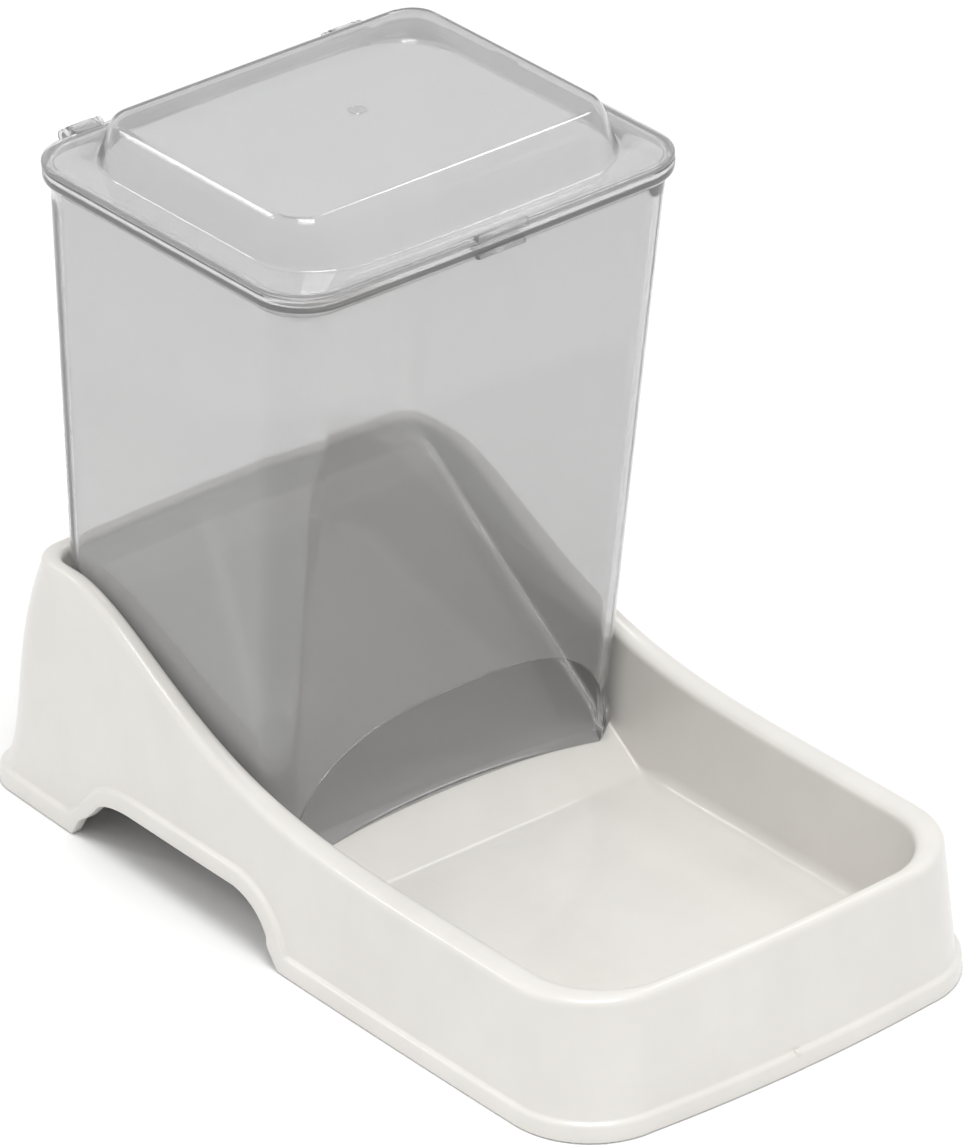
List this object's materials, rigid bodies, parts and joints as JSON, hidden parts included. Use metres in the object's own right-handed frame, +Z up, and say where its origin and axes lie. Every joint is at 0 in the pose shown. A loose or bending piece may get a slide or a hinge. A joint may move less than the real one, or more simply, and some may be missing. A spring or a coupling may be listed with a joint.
{
  "type": "gravity pet feeder",
  "caption": "Gravity pet feeder: smoky clear hopper with a hinged domed lid stands in a pearl white base with an open bowl.",
  "frame": {"origin": "on the floor, under the middle of the base's outline", "axes": "+Z up, +Y from the bowl at the front towards the hopper at the back, +X to the right seen from the front"},
  "size_m": [0.231, 0.408, 0.33],
  "materials": {
    "pearl_plastic": "satin pearl",
    "smoky_plastic": "smoky clear gloss"
  },
  "bodies": {
    "base": {"base": "pearl_plastic"},
    "hopper": {"hopper": "smoky_plastic"},
    "lid": {"lid": "smoky_plastic"}
  },
  "joints": [
    {"name": "hopper_lift", "type": "slide", "parent": "base", "child": "hopper", "axis": [0, 0, 1], "range_m": [0, 0.12]},
    {"name": "lid_hinge", "type": "hinge", "parent": "hopper", "child": "lid", "pos_m": [0, 0.1685, 0.3071], "axis": [-1, 0, 0], "range_deg": [0, 105]}
  ]
}
